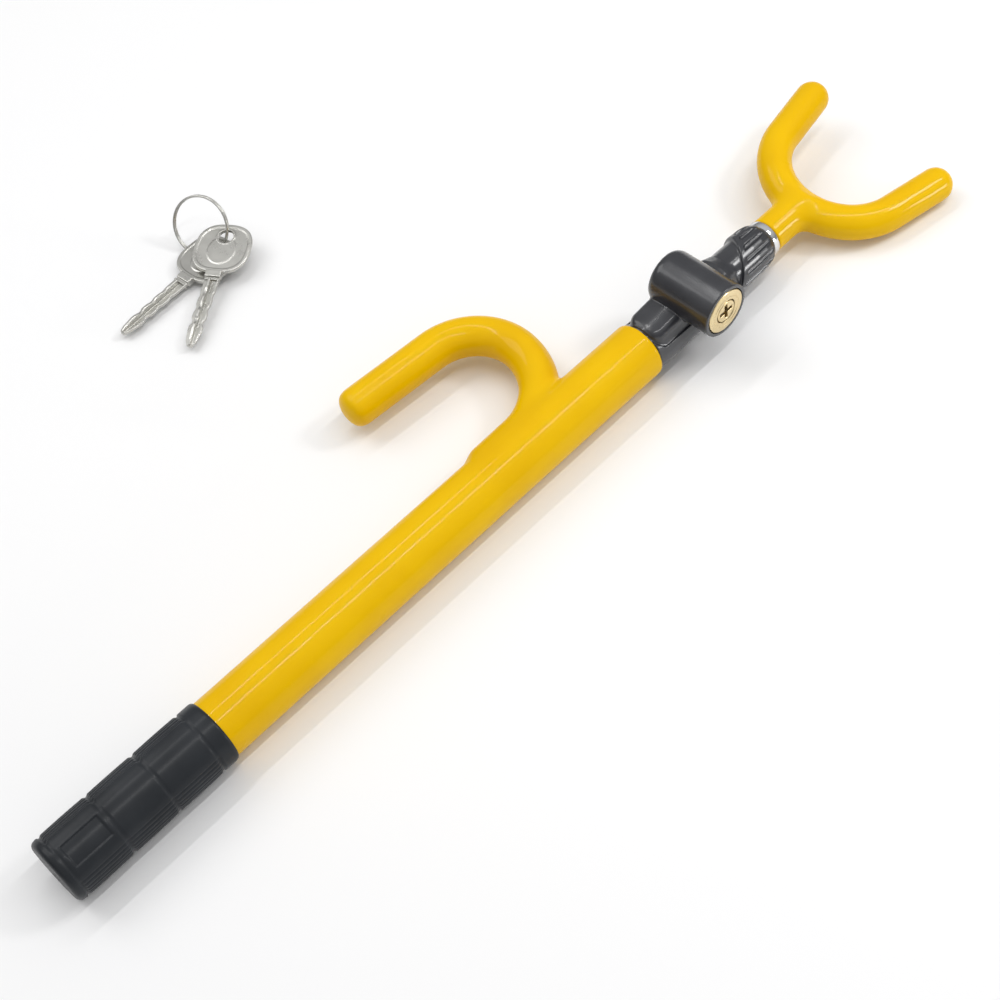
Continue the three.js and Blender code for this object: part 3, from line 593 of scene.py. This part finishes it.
def head_field(p):
    """Moulded cover: neck and nose, two saddles, the barrel and the ribbed collar."""
    x, y, z = p[:, 0], p[:, 1], p[:, 2]
    rho = np.hypot(y, z)
    middle, half = (HEAD_START + NOSE_END) / 2, (NOSE_END - HEAD_START) / 2
    body = smooth_max(rho - nose_radius(x), np.abs(x - middle) - half, 0.6)
    barrel = round_y(p, BARREL_R, BARREL_FACE_Y + 0.3, BARREL_BACK_Y, BARREL_X, BARREL_Z, 0.5)
    barrel = smooth_max(barrel, y - BARREL_BACK_Y, 5.0)
    rear_plan = rounded_plan(x, y, 334.2, 372, SADDLE_HALF, 5.5)
    rear = saddle(p, rear_plan, 13.4 + 0.1 * (x - 338) - 0.014 * y * y)
    front_plan = rounded_plan(x, y, 352, 391, 7.5, 3.0)
    front = saddle(p, front_plan, np.maximum(12.4 - 0.25 * (x - 375), 6))
    channel = np.hypot(rear_plan - 0.75, rho - 12.5) - 0.95
    solid = smooth_max(body, -channel, 0.4)
    solid = smooth_min(solid, rear, 0.4)
    solid = smooth_min(solid, front, 1.2)
    solid = smooth_min(solid, nose_collar(p), 0.8)
    solid = smooth_min(solid, barrel, 0.7)
    face_bore = round_y(p, 11.2, -30, -22.3, BARREL_X, BARREL_Z, 0.1)
    nose_bore = round_x(p, 8.1, 408.5, 425, 0.1)
    solid = smooth_max(solid, -face_bore, 0.3)
    return smooth_max(solid, -nose_bore, 0.3)


def ease(value, start, end):
    t = np.clip((value - start) / (end - start), 0, 1)
    return t * t * (3 - 2 * t)


def between(value, low, high, soft):
    """1 inside low..high, 0 outside, with soft edges."""
    return ease(value, low, low + soft) * (1 - ease(value, high - soft, high))


def grip_radius(x, angles):
    """Radius of the grip: waists, swollen lands, flutes and the inset panels."""
    stations = [0, 0.5, 1.4, 3.0, 79.6, 80.5, GRIP_LEN]
    base = np.interp(x, stations, [12.9, 13.9, 14.5, 14.75, 14.6, 14.4, 14.0])
    half_land = GRIP_LAND_LEN / 2
    land = sum(between(x, low, low + GRIP_LAND_LEN, 1.2) for low in GRIP_LANDS)
    turn = np.mod(np.degrees(angles) - GRIP_PANEL_ANGLE + 90, 180) - 90
    ribbed = ease(np.abs(turn), 38, 46)
    waist = (0.25 + 0.4 * ribbed) * (1 - land) * between(x, 3.4, 74.2, 0.8)
    middle = min(abs(x - low - half_land) for low in GRIP_LANDS)
    swell = 0.12 * land * (1 - (middle / half_land) ** 2)
    flutes = 0.24 * land * ribbed * (0.5 - 0.5 * np.cos(GRIP_RIBS * angles)) ** 2
    panel = between(turn, -GRIP_PANEL_HALF, GRIP_PANEL_HALF, 3.0)
    inset = 0.6 * between(x, 6.5, 25.0, 0.8) * panel
    return np.minimum(base + swell - waist - flutes - inset, GRIP_R)


def turned_profile(name, profile, sides=96, place=None):
    """Closed solid of revolution about X from (x, r) pairs, which place may move."""
    angles = np.linspace(0, 2 * math.pi, sides, endpoint=False)
    points, faces = [], []
    for x, r in profile:
        points.extend((x, r * math.cos(a), r * math.sin(a)) for a in angles)
    count = len(profile)
    for i in range(count):
        j = (i + 1) % count
        for k in range(sides):
            n = (k + 1) % sides
            faces.append((i * sides + k, j * sides + k, j * sides + n, i * sides + n))
    points = np.array(points)
    return mesh_object(name, points if place is None else place(points), faces)


def along_y(points):
    """Turns a shape round X into one round the barrel axis, x becoming y."""
    x, y, z = points.T
    return np.stack([BARREL_X - y, x, BARREL_Z + z], axis=1)


def shade_by_angle(obj, degrees=35):
    obj.data.set_sharp_from_angle(angle=math.radians(degrees))
    return obj


coating = field_object("tube_coating_dipped", coating_field, (68, -15, -15), (335, 87, 15), 1.2)
dress(coating, "yellow_vinyl", "housing", "tube_coating")

fork_turn = turn_about("x", FORK_TWIST)
fork = field_object(
    "fork_coating_dipped", fork_field, (418, -48, -10), (509, 48, 10), 0.9, fork_turn
)
dress(fork, "yellow_vinyl", "rod_and_fork", "fork_coating")

head = field_object("head_moulded_cover", head_field, (332, -26, -14), (418, 14, 31), 0.5)
dress(head, "head_moulding", "housing", "head_cover")

grip_stations = [(0.0, 0.02), (0.0, 0.6)] + [(x, 1.0) for x in np.linspace(0, GRIP_LEN, 200)]
grip = revolve("grip_fluted", grip_radius, grip_stations + [(GRIP_LEN, 0.93)], GRIP_SIDES)
dress(grip, "grip_rubber", "housing", "grip_sleeve")

ferrule_profile = [
    (408.7, 6.8), (408.7, 7.9), (416.0, 7.9), (416.1, 8.5), (416.5, 8.9),
    (418.7, 9.0), (419.2, 8.8), (419.3, 8.3), (419.3, 6.8),
]
ferrule = turned_profile("nose_collar", ferrule_profile)
dress(shade_by_angle(ferrule), "chrome", "housing", "nose_ferrule")

shell_profile = [
    (-24.6, 5.9), (BARREL_FACE_Y, 6.2), (BARREL_FACE_Y, 7.6), (-24.75, 7.75), (-24.75, 8.1),
    (BARREL_FACE_Y, 8.25), (BARREL_FACE_Y, 10.0), (-24.7, 10.6), (-24.2, FLANGE_R),
    (-22.5, FLANGE_R), (-22.5, SHELL_R), (CYLINDER_BACK_Y, SHELL_R), (CYLINDER_BACK_Y, 5.9),
]
shell = turned_profile("cylinder_face", shell_profile, place=along_y)
dress(shade_by_angle(shell), "lock_brass", "housing", "cylinder_shell")


def plug_field(p):
    """Turning plug with a cross keyway in its face."""
    front = BARREL_FACE_Y + 0.05
    barrel = round_y(p, PLUG_R, front, CYLINDER_BACK_Y, BARREL_X, BARREL_Z, 0.35)
    half, slot, end = KEYWAY_HALF_SPAN, KEYWAY_HALF_WIDTH, KEYWAY_END_Y
    q = np.stack([p[:, 0] - BARREL_X, p[:, 1], p[:, 2] - BARREL_Z], axis=1)
    wide = box_field(q, (-half, -30, -slot), (half, end, slot), 0.15)
    tall = box_field(q, (-slot, -30, -half), (slot, end, half), 0.15)
    return smooth_max(barrel, -np.minimum(wide, tall), 0.2)


plug = field_object("plug_with_keyway", plug_field, (356, -26, 10), (370, -5, 24), 0.35)
dress(plug, "lock_brass", "turning_plug", "plug")


def key_field(p):
    """One key, lying flat: bow at the origin, blade along +X."""
    x, y, z = p[:, 0], p[:, 1], np.abs(p[:, 2])
    angle = np.arctan2(y, x)
    reach = KEY_BOW_R * (1 - 0.04 * np.cos(4 * angle))
    rho = np.hypot(x, y)
    bow = smooth_max(rho - reach, z - 1.0, 0.7)
    dish = smooth_max(rho - reach + 2.2, 0.8 - z, 0.3)
    bow = smooth_max(bow, -dish, 0.6)
    boss = smooth_max(np.hypot((x - 1.2) / 1.15, y) - 7.2, z - 0.95, 0.5)
    bow = smooth_min(bow, boss, 0.3)
    eyelet = smooth_max(np.hypot(x - KEY_HOLE_X, y) - 5.0, z - 1.0, 0.3)
    bow = np.minimum(bow, eyelet)
    width = np.interp(x, [12, 20, 49, 55, 57.4, KEY_BLADE_END], [3.7, 3.7, 3.6, 2.6, 1.6, 0.7])
    for start, depth in KEY_NOTCHES:
        width = width - depth * between(x, start - 1.6, start + 4.0, 2.4)
    wide = smooth_max(np.abs(y) - width, z - 0.8, 0.5)
    tall = smooth_max(z - width, np.maximum(np.abs(y) - 0.7, 20 - x), 0.5)
    blade = smooth_min(wide, tall, 0.4)
    blade = smooth_max(blade, np.maximum(KEY_BLADE_START - x, x - KEY_BLADE_END), 0.5)
    collar = box_field(p, (13.6, -4.1, -1.7), (17.6, 4.1, 1.7), 0.5)
    neck = box_field(p, (18.6, -3.4, -1.9), (19.8, 3.4, 1.9), 0.3)
    solid = np.minimum(np.minimum(bow, blade), np.minimum(collar, neck))
    return smooth_max(solid, KEY_HOLE_R - np.hypot(x - KEY_HOLE_X, y), 0.3)


RING_TURN = turn_about("z", RING_HEADING - 90) @ turn_about("x", RING_TILT)


def on_ring(degrees):
    """Point on the ring's wire at an angle round it."""
    across, uphill = heading(degrees)
    flat = np.array([RING_R * across, RING_R * uphill, 0])
    return RING_TURN @ flat + np.array(RING_CENTRE)


def key_on_ring(name, node, body, ring_angle, key_heading, droop):
    """A key with its hole on the ring's wire."""
    turn = turn_about("z", key_heading) @ turn_about("y", droop)
    pivot, place = (KEY_HOLE_X, 0, 0), on_ring(ring_angle)
    key = field_object(name, key_field, (-16, -16, -5), (60, 16, 5), 0.28, turn, pivot, place)
    dress(key, "nickel", body, node)


def wire_coil(turns, radius, wire, height_at):
    """Points and faces of a wire wound round Z, its height a function of the turn."""
    steps, sides = 240, 12
    points, faces = [], []
    for i in range(steps + 1):
        turn = 2 * math.pi * turns * i / steps
        out = np.array([math.cos(turn), math.sin(turn), 0])
        centre = out * radius + np.array([0, 0, height_at(turn)])
        for k in range(sides):
            a = 2 * math.pi * k / sides
            points.append(centre + wire * (out * math.cos(a) + np.array([0, 0, math.sin(a)])))
    for i in range(steps):
        for k in range(sides):
            n = (k + 1) % sides
            faces.append((i * sides + k, i * sides + n, (i + 1) * sides + n, (i + 1) * sides + k))
    faces.append(tuple(reversed(range(sides))))
    faces.append(tuple(range(steps * sides, (steps + 1) * sides)))
    return np.array(points), faces


def split_ring():
    """Two coils of wire, lying on each other, that cross at one place."""

    def height(turn):
        return RING_WIRE_R * 0.95 * (2 * float(ease(turn, 5.9, 6.7)) - 1)

    points, faces = wire_coil(2, RING_R, RING_WIRE_R, height)
    placed = points @ RING_TURN.T + np.array(RING_CENTRE)
    ring = mesh_object("split_ring", placed, faces)
    dress(shade_by_angle(ring, 50), "nickel", "key_ring_body", "key_ring")


def pawl_coil():
    """The pawl's spring, as one fixed coil on the housing; the real one shortens towards the set
    screw as the pawl lifts.
    """

    def height(turn):
        rise = SPRING_HIGH_Z - SPRING_LOW_Z
        return SPRING_LOW_Z + rise * turn / (2 * math.pi * SPRING_TURNS)

    points, faces = wire_coil(SPRING_TURNS, SPRING_R, SPRING_WIRE_R, height)
    coil = mesh_object("pawl_spring_coil", points + np.array([BARREL_X, 0, 0]), faces)
    dress(shade_by_angle(coil, 50), "spring_steel", "housing", "pawl_spring")
    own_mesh(coil)


key_on_ring("key_front_cut", "key_front", "front_key", *FRONT_KEY)
key_on_ring("key_rear_cut", "key_rear", "rear_key", *REAR_KEY)
split_ring()
pawl_coil()

rod_profile = [
    (ROD_START, 0.01), (ROD_START, 4.2), (ROD_START + 0.4, ROD_STEM_R),
    (ROD_SHOULDER, ROD_STEM_R), (ROD_SHOULDER, 6.0), (66.9, ROD_R),
]
for step in range(GROOVES - 1, -1, -1):
    x = BARREL_X - GROOVE_PITCH * step
    rod_profile += [
        (x - 3.5, ROD_R), (x - 3.3, 6.25), (x - 2.3, 4.95), (x - 2.0, GROOVE_R),
        (x + 2.0, GROOVE_R), (x + 2.3, 4.95), (x + 3.3, 6.25), (x + 3.5, ROD_R),
    ]
rod_profile += [(ROD_END, ROD_R), (ROD_END, 0.01)]
rod = turned_profile("grooved_rod", rod_profile, 64)
dress(shade_by_angle(rod), "chrome", "rod_and_fork", "rod")

# The CAD nodes that keep their own shape get the material of their slot
slots = {s["node"]: s["material_slot"] for s in frame["record"]["subparts"]}
for node in frame["nodes"].values():
    if not node.hide_render:
        dress(node, slots[node.name])
        shade_by_angle(node)

# ---- floor, light and camera ---------------------------------------------------------
floor_mesh = bpy.data.meshes.new("floor")
floor_corners = [
    (side_x * FLOOR_HALF, side_y * FLOOR_HALF, FLOOR_Z)
    for side_x, side_y in ((-1, -1), (1, -1), (1, 1), (-1, 1))
]
floor_mesh.from_pydata(floor_corners, [], [(0, 1, 2, 3)])
floor = bpy.data.objects.new("floor", floor_mesh)
bpy.context.scene.collection.objects.link(floor)
floor_look = Surface("pale_floor", (0.9, 0.9, 0.9, 1), 0.75)
floor_look.colours(floor_look.noise(3, 2), (0.91, 0.91, 0.91, 1), (0.89, 0.89, 0.895, 1))
floor_mesh.materials.append(floor_look.material)


def area_light(name, position, target, width, height, power):
    """White rectangular light at a position, facing a target."""
    data = bpy.data.lights.new(name, "AREA")
    data.shape = "RECTANGLE"
    data.size, data.size_y = width, height
    data.energy = power
    obj = bpy.data.objects.new(name, data)
    obj.location = position
    direction = Vector(target) - Vector(position)
    obj.rotation_euler = direction.to_track_quat("-Z", "Y").to_euler()
    bpy.context.scene.collection.objects.link(obj)


# A soft light, two strips that streak the tube and two small ones for the nose
area_light("key_soft", (-0.2, 1.1, 1.2), LIGHT_TARGET, 0.9, 0.7, 4.6)
area_light("strip_near", (0.6, -0.28, 1.2), (0.6, 0, 0), 1.3, 0.035, 4.2)
area_light("strip_far", (0.24, 0.5, 1.2), (0.24, 0, 0), 1.0, 0.035, 2.6)
area_light("high_streak", (1.02, -0.49, 0.9), (0.4, 0, 0), 0.2, 0.2, 2.6)
area_light("low_streak", (1.02, -1.01, 0.2), (0.4, 0, 0), 0.2, 0.2, 2.6)

world = bpy.data.worlds.new("studio")
world.use_nodes = True
sky = world.node_tree
sky.nodes["Background"].inputs["Color"].default_value = (1, 1, 1, 1)
direction = sky.nodes.new("ShaderNodeTexCoord").outputs["Generated"]
split = sky.nodes.new("ShaderNodeSeparateXYZ")
sky.links.new(direction, split.inputs["Vector"])
upward = sky.nodes.new("ShaderNodeMapRange")
upward.interpolation_type = "SMOOTHSTEP"
upward.inputs["From Min"].default_value = 0.0
upward.inputs["From Max"].default_value = 0.85
upward.inputs["To Min"].default_value = SKY_AT_HORIZON
upward.inputs["To Max"].default_value = SKY_ABOVE
sky.links.new(split.outputs["Z"], upward.inputs["Value"])
sky.links.new(upward.outputs["Result"], sky.nodes["Background"].inputs["Strength"])
bpy.context.scene.world = world
bpy.context.scene.view_settings.view_transform = "Standard"
bpy.context.scene.view_settings.look = "None"

camera_data = bpy.data.cameras.new("camera")
camera_data.sensor_width = 36
camera_data.lens = CAMERA_LENS
camera_data.clip_start = 0.01
camera_data.clip_end = 50
camera = bpy.data.objects.new("camera", camera_data)
camera.location = CAMERA_PLACE
camera.rotation_euler = Euler([math.radians(angle) for angle in CAMERA_TURN])
bpy.context.scene.collection.objects.link(camera)
bpy.context.scene.camera = camera
